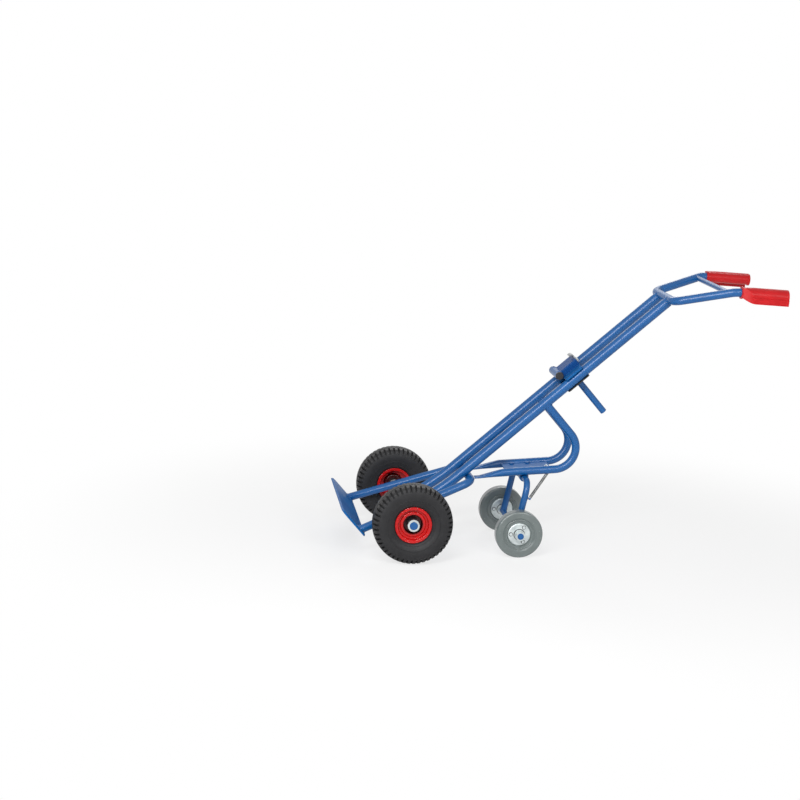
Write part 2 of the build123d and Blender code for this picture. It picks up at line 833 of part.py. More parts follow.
first_dir = coil_tangent(0)
last_dir = coil_tangent(coil_angle)
top_mid = hook_top - phase_x * hook_bend_r
top_side = top_mid - top_out * coil_r
low_spoke = coil_point(coil_angle) - hook_low
low_spoke = low_spoke - pull * low_spoke.dot(pull)
low_side = hook_low + low_spoke + (last_dir - pull * last_dir.dot(pull)).normalized() * hook_bend_r
low_mid = low_side - low_spoke
with BuildPart() as support_spring:
    with BuildLine() as wire_run:
        ThreePointArc(top_mid + top_out * coil_r, top_mid - pull * coil_r, top_side)
        Line(top_side, top_side + pull * hook_neck)
        biarc(top_side + pull * hook_neck, pull, coil_point(0), first_dir)
        for half in range(half_turns):
            turn_in = coil_angle * half / half_turns
            turn_out = coil_angle * (half + 1) / half_turns
            biarc(coil_point(turn_in), coil_tangent(turn_in), coil_point(turn_out), coil_tangent(turn_out))
        biarc(coil_point(coil_angle), last_dir, low_side - pull * hook_neck, pull)
        Line(low_side - pull * hook_neck, low_side)
        ThreePointArc(low_side, low_mid + pull * coil_r, low_mid - low_spoke)
    with BuildSketch(Plane(origin=wire_run.line @ 0, z_dir=wire_run.line % 0)):
        Circle(wire_d / 2)
    sweep(path=wire_run.line)
save(support_spring.part, "support_spring")

samples = 9
wire_points = [
    tuple(edge @ (k / samples))
    for edge in wire_run.line.edges()
    for k in range(samples)
]
skip = 2 * samples
least = min(
    dist(wire_points[i], wire_points[j])
    for i in range(len(wire_points))
    for j in range(i + skip, len(wire_points))
)
print(f"spring least gap to itself {least - wire_d:.2f} mm")

# Handle: one tube bent across the rails' heads, flared, and levelled out into the grips
grip_dir = Vector(cos(radians(grip_slope)), 0, sin(radians(grip_slope)))
grip_up = Vector(-grip_dir.Z, 0, grip_dir.X)
arm_low = on_rails(handle_s, handle_h, -handle_half)
arm_high = axle + Vector(grip_x, -grip_y, grip_rise)
grip_len = (grip_end_x - grip_x - guard_top * grip_up.X) / grip_dir.X - grip_start
tube_end = arm_high + grip_dir * (grip_start + grip_len - grip_wall - tube_short)
half_run = [tube_end, arm_high, arm_low]
other_run = [Vector(spot.X, -spot.Y, spot.Z) for spot in reversed(half_run)]
with BuildPart() as handle_tube:
    bent_tube(
        half_run + other_run,
        (grip_bend_r, handle_bend_r, handle_bend_r, grip_bend_r),
        handle_d,
        handle_wall,
    )
save(handle_tube.part, "handle_tube")

arm_dir = (arm_high - arm_low).normalized()
brace_spot = arm_low + arm_dir * ((axle_x + brace_x - arm_low.X) / arm_dir.X)
brace_far = Vector(brace_spot.X, -brace_spot.Y, brace_spot.Z)
arm_low_far = Vector(arm_low.X, -arm_low.Y, arm_low.Z)
arm_high_far = Vector(arm_high.X, -arm_high.Y, arm_high.Z)
with BuildPart() as handle_brace:
    straight_tube(brace_spot, brace_far, brace_d, brace_wall)
    cope(arm_low, arm_high, handle_d)
    cope(arm_low_far, arm_high_far, handle_d)
save(handle_brace.part, "handle_brace")

# Grip: a sleeve on the tube, and a hood with a lower ledge round the knuckles, open behind and below
grip_origin = arm_high + grip_dir * grip_start
grip_cut = Plane(origin=grip_origin, x_dir=y_dir, z_dir=grip_dir)
grip_side = Plane(origin=grip_origin, x_dir=grip_dir, z_dir=-y_dir)
grip_plan = Plane(origin=grip_origin, x_dir=grip_dir, z_dir=grip_up)
sleeve_r = grip_sleeve_d / 2
hood_mid = (-hood_out, guard_top - hood_r)
hood_start = degrees(acos(hood_out / hood_r))
hood_turn = 180.0 + crease_angle - hood_start
guard_out = hood_out + hood_r + guard_ledge


def guard_plan(inset, overrun):
    with BuildSketch(grip_plan) as outline:
        with BuildLine():
            flare = Spline(
                (inset, -sleeve_r + inset),
                (guard_flare, -guard_out + inset),
                tangents=((1, -0.5), (1, 0)),
            )
            Polyline(
                flare @ 1,
                (grip_len + overrun, -guard_out + inset),
                (grip_len + overrun, overrun),
                (inset, overrun),
                flare @ 0,
            )
        make_face()
    return outline.sketch


with BuildPart() as hand_room:
    with BuildSketch(grip_cut):
        with BuildLine():
            hollow_r = hood_r - grip_wall
            roof = CenterArc(hood_mid, hollow_r, 90, 90)
            Polyline(
                roof @ 1,
                (-hood_out - hollow_r, -guard_low - grip_wall),
                (grip_wall, -guard_low - grip_wall),
                (grip_wall, 0),
                (-hood_out, 0),
                roof @ 0,
            )
        make_face()
    extrude(amount=2 * grip_len)
    extrude(guard_plan(grip_wall, 2 * grip_wall), amount=2 * guard_out, both=True, mode=Mode.INTERSECT)

with BuildPart() as grip:
    with BuildSketch(grip_cut):
        with BuildLine():
            hood = CenterArc(hood_mid, hood_r, hood_start, hood_turn)
            Polyline(
                hood @ 1,
                (-guard_out, (hood @ 1).Y - guard_ledge),
                (guard_tuck - guard_out, -guard_low),
                (0, -guard_low),
                hood @ 0,
            )
        make_face()
    extrude(amount=grip_len)
    extrude(guard_plan(0, 0), amount=guard_out, both=True, mode=Mode.INTERSECT)
    with BuildSketch(grip_side) as neck:
        with BuildLine():
            drop = Spline(
                (0, -grip_neck_low),
                (guard_flare, -guard_low),
                tangents=((1, -0.5), (1, 0)),
            )
            Polyline(
                drop @ 1,
                (grip_len, -guard_low),
                (grip_len, guard_top),
                (guard_flare, guard_top),
                (0, sleeve_r),
                drop @ 0,
            )
        make_face()
    extrude(amount=guard_out, both=True, mode=Mode.INTERSECT)
    add(hand_room.part, mode=Mode.SUBTRACT)
    bar_between(grip_origin, grip_origin + grip_dir * grip_len, grip_sleeve_d)
    bar_between(grip_origin, grip_origin + grip_dir * grip_collar_w, grip_collar_d)
    bar_between(
        grip_origin + grip_dir * (grip_len - grip_lip_w),
        grip_origin + grip_dir * grip_len,
        grip_lip_d,
    )
    bar_between(
        grip_origin - grip_dir * grip_start,
        grip_origin + grip_dir * (grip_len - grip_wall),
        handle_d + 2 * fit_gap,
        Mode.SUBTRACT,
    )
save_pair(grip.part, "grip")

# Hook carriage: plate on the rails, guide between them, box bracket, rest bar with caps, hook
plate_h = rail_top_h + slide_gap
plate_top_h = plate_h + carriage_plate_t
stud_hole_d = stud_d + 2 * bolt_gap
with BuildPart() as carriage_plate:
    with BuildSketch(rail_plan(plate_h)) as carriage_face:
        with Locations((carriage_s, 0)):
            RectangleRounded(carriage_plate_len, carriage_plate_w, carriage_corner_r)
            Circle(stud_hole_d / 2, mode=Mode.SUBTRACT)
    extrude(amount=carriage_plate_t)
save(carriage_plate.part, "carriage_plate")

guide_half = rail_y - rail_d / 2 - slide_gap
with BuildPart() as guide_block:
    with BuildSketch(rail_plan(plate_h - seat_gap)):
        with Locations((carriage_s, 0)):
            RectangleRounded(guide_len, 2 * guide_half, edge_break)
            Circle(stud_hole_d / 2, mode=Mode.SUBTRACT)
    extrude(amount=-guide_depth)
save(guide_block.part, "guide_block")

bracket_low_h = plate_top_h + seat_gap
bar_s = carriage_s - bar_ahead
back_s = carriage_s + bracket_back
bracket_mid_s = (bar_s + back_s) / 2
bar_axis = on_rails(bar_s, bar_h)
wall_mid_h = (plate_top_h + bracket_top_h - bracket_sheet) / 2
with BuildPart() as carriage_bracket:
    with BuildSketch(rail_plan(bracket_low_h)):
        with Locations((bracket_mid_s, 0)):
            Rectangle(back_s - bar_s, bracket_w)
    extrude(amount=bracket_top_h - bracket_low_h)
    long_edges = carriage_bracket.edges().filter_by(Axis(axle, u_dir))
    fillet(long_edges.group_by(Axis(axle, n_dir))[-1], bracket_sheet)
    with BuildSketch(rail_plan(bracket_low_h)):
        with Locations((bracket_mid_s - bracket_sheet, 0)):
            Rectangle(back_s - bar_s, bracket_w - 2 * bracket_sheet)
    extrude(amount=bracket_top_h - bracket_low_h - bracket_sheet, mode=Mode.SUBTRACT)
    cope(bar_axis - y_dir * bracket_w, bar_axis + y_dir * bracket_w, bar_d)
    for side in (-1, 1):
        round_on(
            Plane(
                origin=on_rails(back_s - 2 * bracket_sheet, wall_mid_h, side * hook_bolt_spread / 2),
                z_dir=u_dir,
            ),
            hook_bolt_d + 2 * bolt_gap,
            2 * bracket_sheet,
            Mode.SUBTRACT,
        )
save(carriage_bracket.part, "carriage_bracket")

with BuildPart() as drum_bar:
    straight_tube(bar_axis - y_dir * (bar_len / 2), bar_axis + y_dir * (bar_len / 2), bar_d, bar_wall)
save(drum_bar.part, "drum_bar")

with BuildPart() as bar_cap:
    bar_end = bar_axis - y_dir * (bar_len / 2 + seat_gap)
    bar_between(bar_end, bar_end - y_dir * cap_t, bar_d)
    fillet(bar_cap.faces().sort_by(Axis.Y)[0].edges(), cap_round)
    bar_between(bar_end, bar_end + y_dir * cap_plug, bar_d - 2 * bar_wall - 2 * fit_gap)
save_pair(bar_cap.part, "bar_cap")

hook_stem_s = back_s + seat_gap + hook_t / 2
with BuildPart() as rim_hook:
    with BuildSketch(rail_side(hook_w / 2)) as hook_face:
        with BuildLine():
            FilletPolyline(
                (hook_stem_s, bracket_low_h),
                (hook_stem_s, hook_top_h),
                (hook_stem_s - hook_tip, hook_top_h),
                radius=hook_bend_in_r + hook_t / 2,
            )
        trace(line_width=hook_t)
    extrude(amount=hook_w)
    for side in (-1, 1):
        round_on(
            Plane(origin=on_rails(back_s, wall_mid_h, side * hook_bolt_spread / 2), z_dir=u_dir),
            hook_bolt_d + 2 * bolt_gap,
            2 * hook_t,
            Mode.SUBTRACT,
        )
save(rim_hook.part, "rim_hook")

hook_back_s = back_s + seat_gap + hook_t + seat_gap
hook_bolt_in = back_s - bracket_sheet - seat_gap
with BuildPart() as hook_bolts:
    for side in (-1, 1):
        bolt_y = side * hook_bolt_spread / 2
        head_plane = Plane(origin=on_rails(hook_back_s, wall_mid_h, bolt_y), z_dir=u_dir)
        nut_plane = Plane(origin=on_rails(hook_bolt_in, wall_mid_h, bolt_y), z_dir=-u_dir)
        hex_on(head_plane, hook_bolt_head_d, hook_bolt_head_h)
        hex_on(nut_plane, hook_bolt_head_d, hook_bolt_head_h)
        bar_between(
            on_rails(hook_bolt_in - hook_bolt_head_h, wall_mid_h, bolt_y),
            on_rails(hook_back_s, wall_mid_h, bolt_y),
            hook_bolt_d,
        )
save(hook_bolts.part, "hook_bolts")

# Clamp: nut on the carriage, screw through the guide, plate under the rails, washer and rod to turn it by
with BuildPart() as clamp_nut:
    nut_plane = Plane(origin=on_rails(carriage_s, plate_top_h + seat_gap), x_dir=u_dir, z_dir=n_dir)
    hex_on(nut_plane, clamp_nut_flat, clamp_nut_h)
    round_on(nut_plane, stud_hole_d, clamp_nut_h, Mode.SUBTRACT)
save(clamp_nut.part, "clamp_nut")

clamp_top_h = rail_low_h - slide_gap
clamp_low_h = clamp_top_h - clamp_plate_t
with BuildPart() as clamp_plate:
    with BuildSketch(rail_plan(clamp_low_h)):
        with Locations((carriage_s - clamp_plate_down, 0)):
            RectangleRounded(clamp_plate_len, clamp_plate_w, carriage_corner_r)
        with Locations((carriage_s, 0)):
            Circle(stud_hole_d / 2, mode=Mode.SUBTRACT)
    extrude(amount=clamp_plate_t)
save(clamp_plate.part, "clamp_plate")

washer_top_h = clamp_low_h - thrust_gap
rod_top_h = washer_top_h - washer_t - seat_gap
with BuildPart() as clamp_washer:
    washer_plane = Plane(origin=on_rails(carriage_s, washer_top_h), x_dir=u_dir, z_dir=-n_dir)
    round_on(washer_plane, washer_d, washer_t)
    round_on(washer_plane, stud_d + 2 * fit_gap, washer_t, Mode.SUBTRACT)
save(clamp_washer.part, "clamp_washer")

with BuildPart() as clamp_spindle:
    bar_between(on_rails(carriage_s, rod_top_h), on_rails(carriage_s, -spindle_end_h), spindle_d)
    fillet(clamp_spindle.faces().sort_by(Axis(axle, n_dir))[0].edges(), spindle_round)
    bar_between(on_rails(carriage_s, rod_top_h), on_rails(carriage_s, plate_top_h + stud_top), stud_d)
save(clamp_spindle.part, "clamp_spindle")
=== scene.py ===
import json
from math import atan2, cos, pi, radians, sin, sqrt

import bpy
from mathutils import Matrix, Quaternion, Vector
from mathutils.bvhtree import BVHTree


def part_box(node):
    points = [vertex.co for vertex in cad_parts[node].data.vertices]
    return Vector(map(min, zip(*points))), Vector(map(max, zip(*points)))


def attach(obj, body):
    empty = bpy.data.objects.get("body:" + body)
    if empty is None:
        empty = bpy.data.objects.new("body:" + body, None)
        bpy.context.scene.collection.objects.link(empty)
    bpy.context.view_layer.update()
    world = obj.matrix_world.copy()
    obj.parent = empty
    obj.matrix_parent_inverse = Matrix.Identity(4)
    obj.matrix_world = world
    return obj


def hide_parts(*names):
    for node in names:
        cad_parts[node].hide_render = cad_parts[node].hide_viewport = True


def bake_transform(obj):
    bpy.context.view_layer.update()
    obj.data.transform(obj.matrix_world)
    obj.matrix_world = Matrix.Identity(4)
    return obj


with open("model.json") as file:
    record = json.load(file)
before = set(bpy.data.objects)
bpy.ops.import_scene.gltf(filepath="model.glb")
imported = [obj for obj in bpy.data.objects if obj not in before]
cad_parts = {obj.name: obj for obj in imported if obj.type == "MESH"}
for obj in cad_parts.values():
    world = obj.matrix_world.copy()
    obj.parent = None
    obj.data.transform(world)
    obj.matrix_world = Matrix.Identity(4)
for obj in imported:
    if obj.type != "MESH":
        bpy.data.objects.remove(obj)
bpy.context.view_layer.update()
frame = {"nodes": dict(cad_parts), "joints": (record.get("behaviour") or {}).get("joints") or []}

SIDES = ("left", "right")
X_DIR = Vector((1, 0, 0))
Y_DIR = Vector((0, 1, 0))
Z_DIR = Vector((0, 0, 1))

# Rails, lower frame and toe plate, in metres, as the solids were drawn
RAIL_TILT = radians(42.85)
RAIL_R = 0.01685
RAIL_Y = 0.0624
RAIL_H = -0.0343
RAIL_TAIL_S = -0.015
RAIL_TAIL_H = -0.0138
RAIL_BEND_S = 0.165
AXLE_R = 0.0125
FRAME_R = 0.01345
CROSS_S = 0.226
CROSS_HALF = 0.113
LEG_TOE_Y = 0.211
LEG_TOE_H = 0.077
TOE_S = -0.143
WELD_GAP = 0.00015

# Handle
HANDLE_R = 0.014
HANDLE_S = 1.110
HANDLE_H = -0.0303
HANDLE_HALF = 0.125
GRIP_ARM = Vector((1.013, -0.202, 0.7825))
BRACE_R = 0.0086
BRACE_X = 0.996

# Bows and the plate between them
BOW_SLOPE = radians(5.5)
BOW_R = 0.01345
BOW_TOP_S = 0.578
BOW_Q = 0.0249
PLATE_T = 0.005
TONGUE_Q = 0.01495
TONGUE_HALF_W = 0.0185
TONGUE_HALF_H = 0.0035

# Support fork, and the bolt and pin of its spring
FORK_R = 0.01065
FORK_LEG_Y = 0.125
SUPPORT_AXLE_R = 0.010
HOOK_BOLT_P = 0.077
HOOK_BOLT_Y = -0.036
HOOK_DROP = 0.006
HOOK_ROD_REACH = 0.011
PIN_UP_LEG = 0.118
PIN_REACH = 0.006
PIN_R = 0.003

# Hook carriage
BAR_R = 0.01345
BAR_S = 0.671
BAR_H = 0.0045
BRACKET_BACK_S = 0.748
BRACKET_LOW_H = -0.01105
BRACKET_HALF = 0.039

UP_RAIL = Vector((cos(RAIL_TILT), 0, sin(RAIL_TILT)))
OFF_RAIL = Vector((-sin(RAIL_TILT), 0, cos(RAIL_TILT)))
ALONG_BOW = Vector((cos(BOW_SLOPE), 0, sin(BOW_SLOPE)))
OFF_BOW = Vector((-sin(BOW_SLOPE), 0, cos(BOW_SLOPE)))


def middle(node):
    low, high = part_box(node)
    return (Vector(low) + Vector(high)) / 2


axle = middle("main_axle")
support = middle("support_axle")
joints = {joint["name"]: joint for joint in frame["joints"]}
pivot = Vector(joints["support_fork_fold"]["pos_m"])
leg_dir = (pivot - support).normalized()


def on_rails(s, h, y=0.0):
    """The point s up the rails from the main axle and h off them, toward the load."""
    return axle + UP_RAIL * s + OFF_RAIL * h + Y_DIR * y


def on_bow(p, q, y=0.0):
    """The point p along the bows from the fork's pivot and q square to them, upward."""
    return pivot + ALONG_BOW * p + OFF_BOW * q + Y_DIR * y


def other_side(point):
    return Vector((point.x, -point.y, point.z))


# Material nodes
NOISE_LOW = 0.3  # most of a noise lies between these two
NOISE_HIGH = 0.7
MIX_FIRST = 6  # colour sockets of a mix node, which share their names with its other sockets
MIX_SECOND = 7
MIX_RESULT = 2
COAT_IOR = 2.2


def seen(red, green, blue):
    """A colour as it is seen, 0 to 255, in the linear values that a shader takes."""
    steps = [value / 255 for value in (red, green, blue)]
    return [((c + 0.055) / 1.055) ** 2.4 if c > 0.04045 else c / 12.92 for c in steps] + [1.0]


def new_node(tree, kind, **settings):
    made = tree.nodes.new(kind)
    for key, value in settings.items():
        setattr(made, key, value)
    return made


class Finish:
    """A material under construction: one shader, its colour, roughness and relief from noise."""

    def __init__(self, name):
        self.material = bpy.data.materials.new(name)
        self.material.use_nodes = True
        self.tree = self.material.node_tree
        self.shader = self.tree.nodes["Principled BSDF"]
        self.place = self.node("ShaderNodeTexCoord").outputs["Object"]

    def node(self, kind, **settings):
        return new_node(self.tree, kind, **settings)

    def link(self, source, target):
        self.tree.links.new(source, target)

    def noise(self, scale, detail=4.0, roughness=0.55):
        made = self.node("ShaderNodeTexNoise")
        made.inputs["Scale"].default_value = scale
        made.inputs["Detail"].default_value = detail
        made.inputs["Roughness"].default_value = roughness
        self.link(self.place, made.inputs["Vector"])
        return made.outputs["Fac"]

    def cells(self, scale):
        made = self.node("ShaderNodeTexVoronoi")
        made.inputs["Scale"].default_value = scale
        self.link(self.place, made.inputs["Vector"])
        return made.outputs["Distance"]

    def spread(self, source, low=NOISE_LOW, high=NOISE_HIGH, start=0.0, end=1.0):
        made = self.node("ShaderNodeMapRange")
        self.link(source, made.inputs["Value"])
        made.inputs["From Min"].default_value = low
        made.inputs["From Max"].default_value = high
        made.inputs["To Min"].default_value = start
        made.inputs["To Max"].default_value = end
        return made.outputs["Result"]

    def math(self, operation, first, second):
        made = self.node("ShaderNodeMath", operation=operation)
        for socket, value in zip(made.inputs, (first, second)):
            if isinstance(value, (int, float)):
                socket.default_value = value
            else:
                self.link(value, socket)
        return made.outputs["Value"]

    def mix(self, share, first, second):
        made = self.node("ShaderNodeMix", data_type="RGBA")
        self.link(share, made.inputs["Factor"])
        for index, value in ((MIX_FIRST, first), (MIX_SECOND, second)):
            if isinstance(value, list):
                made.inputs[index].default_value = value
            else:
                self.link(value, made.inputs[index])
        return made.outputs[MIX_RESULT]

    def radius(self, centre):
        """Distance from the line through the centre along Y."""
        shift = self.node("ShaderNodeVectorMath", operation="SUBTRACT")
        self.link(self.place, shift.inputs[0])
        shift.inputs[1].default_value = centre
        flat = self.node("ShaderNodeVectorMath", operation="MULTIPLY")
        self.link(shift.outputs["Vector"], flat.inputs[0])
        flat.inputs[1].default_value = (1, 0, 1)
        reach = self.node("ShaderNodeVectorMath", operation="LENGTH")
        self.link(flat.outputs["Vector"], reach.inputs[0])
        return reach.outputs["Value"]

    def colour(self, source):
        self.link(source, self.shader.inputs["Base Color"])

    def rough(self, noise, limits, high=NOISE_HIGH):
        least, most = limits
        self.link(self.spread(noise, high=high, start=least, end=most), self.shader.inputs["Roughness"])

    def relief(self, height, depth, strength=1.0):
        made = self.node("ShaderNodeBump")
        made.inputs["Strength"].default_value = strength
        made.inputs["Distance"].default_value = depth
        self.link(height, made.inputs["Height"])
        self.link(made.outputs["Normal"], self.shader.inputs["Normal"])

    def set(self, **values):
        for key, value in values.items():
            self.shader.inputs[key.replace("_", " ")].default_value = value


def powder_coat(name, shade, light, rough=(0.2, 0.3), gloss=0.04, coat=0.27):
    """Powder coat: a faint drift of colour, orange peel, dull patches of handling dust."""
    made = Finish(name)
    made.colour(made.mix(made.spread(made.noise(scale=6.0)), shade, light))
    made.rough(made.noise(scale=16.0, detail=3.0), rough, high=0.75)
    made.relief(made.noise(scale=420.0, detail=2.0), depth=0.000003)
    made.set(Specular_IOR_Level=gloss, Coat_Weight=coat, Coat_IOR=COAT_IOR, Coat_Roughness=0.28)
    return made.material


def plated(name, dull, bright, rough):
    """Zinc plate: a fine crystal grain under cloudy brightness."""
    made = Finish(name)
    cloud = made.spread(made.noise(scale=45.0, detail=5.0))
    grain = made.spread(made.cells(scale=1400.0), low=0.0, start=0.7)
    made.colour(made.mix(made.math("MULTIPLY", cloud, grain), dull, bright))
    made.rough(made.noise(scale=140.0, detail=5.0), rough)
    made.relief(made.noise(scale=900.0, detail=3.0), depth=0.00001)
    made.set(Metallic=0.7)
    return made.material


def moulded(name, shade, light, rough, grain, depth, gloss):
    """Moulded plastic or rubber with an eroded mould texture."""
    made = Finish(name)
    made.colour(made.mix(made.spread(made.noise(scale=14.0, detail=5.0)), shade, light))
    made.rough(made.noise(scale=90.0, detail=5.0), rough)
    made.relief(made.noise(scale=grain, detail=3.0), depth)
    made.set(Specular_IOR_Level=gloss)
    return made.material


def air_tyre(name):
    """Black tyre: fine rings on the wall, dusty tread."""
    tread_from, tread_full = 0.118, 0.129
    rings_from, rings_full = 0.100, 0.092
    ring_pitch = 0.0021
    dust_share = 0.4
    made = Finish(name)
    reach = made.radius(axle)
    drift = made.spread(made.noise(scale=26.0, detail=6.0))
    rubber = made.mix(drift, seen(31, 31, 33), seen(41, 41, 43))
    film = made.spread(made.noise(scale=70.0, detail=8.0), low=0.42)
    dust = made.math("MULTIPLY", made.spread(reach, tread_from, tread_full), film)
    made.colour(made.mix(made.math("MULTIPLY", dust, dust_share), rubber, seen(80, 78, 75)))
    made.rough(made.noise(scale=120.0, detail=5.0), limits=(0.48, 0.64))
    rings = made.math("SINE", made.math("MULTIPLY", reach, 2 * pi / ring_pitch), 0.0)
    on_wall = made.spread(reach, rings_from, rings_full, end=0.6)
    grain = made.noise(scale=700.0, detail=3.0)
    made.relief(made.math("ADD", made.math("MULTIPLY", rings, on_wall), grain), depth=0.0001, strength=0.6)
    made.set(Specular_IOR_Level=0.3)
    return made.material


def painted_rim(name):
    """Gloss red rim, its deep cup painted dark as shade."""
    cup_edge, cup_dark = 0.0345, 0.0305
    made = Finish(name)
    paint = made.mix(made.spread(made.noise(scale=18.0)), seen(181, 14, 16), seen(197, 22, 22))
    # Painted shade: the rim darkens inside the cup, towards the hub, to near black
    cup_shade = made.spread(made.radius(axle), cup_edge, cup_dark, end=0.93)
    made.colour(made.mix(cup_shade, paint, seen(20, 7, 7)))
    made.rough(made.noise(scale=50.0, detail=5.0), limits=(0.2, 0.32))
    made.relief(made.noise(scale=420.0, detail=2.0), depth=0.000008)
    made.set(Specular_IOR_Level=0.05, Coat_Weight=0.16, Coat_IOR=COAT_IOR, Coat_Roughness=0.14)
    return made.material


blue = powder_coat("blue_paint", seen(12, 83, 146), seen(19, 94, 158))
plate_blue = powder_coat(
    "plate_blue", seen(18, 86, 150), seen(26, 98, 162), (0.4, 0.52), gloss=0.12, coat=0.0
)
deep_blue = powder_coat(
    "dark_blue_paint", seen(12, 62, 124), seen(18, 74, 138), (0.36, 0.48), gloss=0.12, coat=0.0
)
black_paint = powder_coat("black_paint", seen(16, 17, 20), seen(26, 27, 30))
zinc = plated("zinc", seen(187, 196, 197), seen(228, 235, 235), (0.3, 0.42))
bright_steel = plated("bright_steel", seen(124, 127, 129), seen(182, 185, 187), (0.16, 0.28))
spring_wire = plated("spring_steel", seen(122, 123, 122), seen(172, 173, 172), (0.3, 0.46))
# Dark steel for the rings round the support wheels' rivets and hubs: painted shade in their gaps
gap_shade_steel = plated("gap_shade_steel", seen(40, 42, 44), seen(72, 75, 77), (0.4, 0.55))
# Pale grey for the welds on the flat bow tips: a painted reflection of the white surroundings
pale_reflection_weld = plated("pale_reflection_weld", seen(150, 154, 158), seen(214, 218, 220), (0.34, 0.5))
grip_red = moulded(
    "grip_red",
    seen(188, 20, 25),
    seen(203, 28, 32),
    rough=(0.3, 0.42),
    grain=1100.0,
    depth=0.00002,
    gloss=0.28,
)
grey_rubber = moulded(
    "grey_rubber",
    seen(95, 105, 104),
    seen(108, 118, 117),
    rough=(0.2, 0.28),
    grain=800.0,
    depth=0.000002,
    gloss=1.0,
)
black_plastic = moulded(
    "black_plastic",
    seen(36, 37, 41),
    seen(50, 51, 56),
    rough=(0.34, 0.5),
    grain=900.0,
    depth=0.00005,
    gloss=0.4,
)
tyre_black = air_tyre("tyre_black")
rim_red = painted_rim("rim_red")


def dress(finish, *nodes):
    for node in nodes:
        solid = frame["nodes"][node]
        if not solid.material_slots:
            solid.data.materials.append(finish)
        for place in solid.material_slots:
            place.material = finish


def both(*stems):
    return [f"{stem}_{side}" for stem in stems for side in SIDES]


dress(blue, *both("rail", "bow", "pivot_block"), "lower_frame", "main_axle")
dress(blue, "handle_tube", "handle_brace", "fork_tube", "fork_stop", "support_axle", "spring_pin")
dress(plate_blue, "toe_plate", "bow_plate", "carriage_plate")
dress(blue, "guide_block", "drum_bar", "clamp_spindle", "pivot_bolts")
dress(deep_blue, "carriage_bracket")
dress(black_paint, "clamp_plate")
dress(zinc, "axle_collars", "axle_spacers", "axle_rings", "support_spacers", "hook_bolts")
dress(zinc, "clamp_nut", "clamp_washer", "spring_hook_bolt")
dress(zinc, *both("disc_outer", "disc_inner", "support_hub", "disc_rivets"))
dress(bright_steel, "rim_hook")
dress(grip_red, *both("grip"))
dress(grey_rubber, *both("support_tyre"))
dress(black_plastic, *both("main_hub", "main_bearing", "bar_cap"))
dress(tyre_black, *both("main_tyre"))
dress(rim_red, *both("rim_outer", "rim_inner"))


# Pieces made here
SAME_SPOT = 1e-6
STEEP = 0.9
FAR_OUT = 0.1  # a start that is clear of what is looked for


class Shape:
    """A mesh under construction, from several runs of points."""

    def __init__(self):
        self.points = []
        self.faces = []

    def add(self, points, faces):
        start = len(self.points)
        self.points += points
        self.faces += [tuple(start + index for index in face) for face in faces]

    def piece(self, name, finish):
        mesh = bpy.data.meshes.new(name)
        mesh.from_pydata(self.points, [], self.faces)
        mesh.polygons.foreach_set("use_smooth", [True] * len(mesh.polygons))
        mesh.materials.append(finish)
        mesh.update()
        made = bpy.data.objects.new(name, mesh)
        bpy.context.scene.collection.objects.link(made)
        return made


def is_loop(spine):
    return (spine[0] - spine[-1]).length < SAME_SPOT


def circle(steps):
    """The angles of a full turn, without its end."""
    return [2 * pi * k / steps for k in range(steps)]


def swept(spine, sizes, sides):
    """A round bar along a spine, its ends closed; a spine that ends where it starts has no kink there."""
    last = len(spine) - 1
    loop = is_loop(spine)
    points, faces = [], []
    across = None
    for k, spot in enumerate(spine):
        ahead = spine[1] if loop and k == last else spine[min(k + 1, last)]
        behind = spine[last - 1] if loop and k == 0 else spine[max(k - 1, 0)]
        along = (ahead - behind).normalized()
        if across is None:
            across = along.cross(Z_DIR if abs(along.z) < STEEP else X_DIR)
        across = (across - along * across.dot(along)).normalized()
        rise = along.cross(across)
        for turn in circle(sides):
            points.append(spot + (across * cos(turn) + rise * sin(turn)) * sizes[k])
    for k in range(last):
        for j in range(sides):
            a = k * sides + j
            b = k * sides + (j + 1) % sides
            faces.append((a, b, b + sides, a + sides))
    faces.append(tuple(reversed(range(sides))))
    faces.append(tuple(last * sides + j for j in range(sides)))
    return points, faces


# Weld seams: rippled beads, with their radii by weight
HEAVY_BEAD = 0.0028
FULL_BEAD = 0.0026
MEDIUM_BEAD = 0.0024
LIGHT_BEAD = 0.0022
FINE_BEAD = 0.0020
PIN_BEAD = 0.0014
BEAD_SIDES = 8
BEAD_STEP = 0.0011
LEAST_STEPS = 4
RIPPLE_PITCH = 0.0042
RIPPLE = 0.2
END_TAPER = 0.004
END_SIZE = 0.3
SEAM_STEPS = 72
SHORTEST_RUN = 4


def spaced(path, step):
    """Points along a path at even steps, as near the step as the length allows."""
    runs = [(end - start).length for start, end in zip(path, path[1:])]
    total = sum(runs)
    count = max(LEAST_STEPS, round(total / step))
    out = []
    for k in range(count + 1):
        want = total * k / count
        index = 0
        while index < len(runs) - 1 and want > runs[index]:
            want -= runs[index]
            index += 1
        out.append(path[index].lerp(path[index + 1], min(1.0, want / runs[index])))
    return out


def welds(name, seams, radius, body, finish=blue):
    shape = Shape()
    for seam in seams:
        spine = spaced(seam, BEAD_STEP)
        last = len(spine) - 1
        loop = is_loop(spine)
        sizes = []
        for k in range(last + 1):
            wave = 1 - RIPPLE * abs(cos(pi * k * BEAD_STEP / RIPPLE_PITCH))
            to_end = min(k, last - k) * BEAD_STEP
            taper = 1.0 if loop else min(1.0, END_SIZE + (1 - END_SIZE) * to_end / END_TAPER)
            sizes.append(radius * wave * taper)
        shape.add(*swept(spine, sizes, BEAD_SIDES))
    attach(shape.piece(name, finish), body)


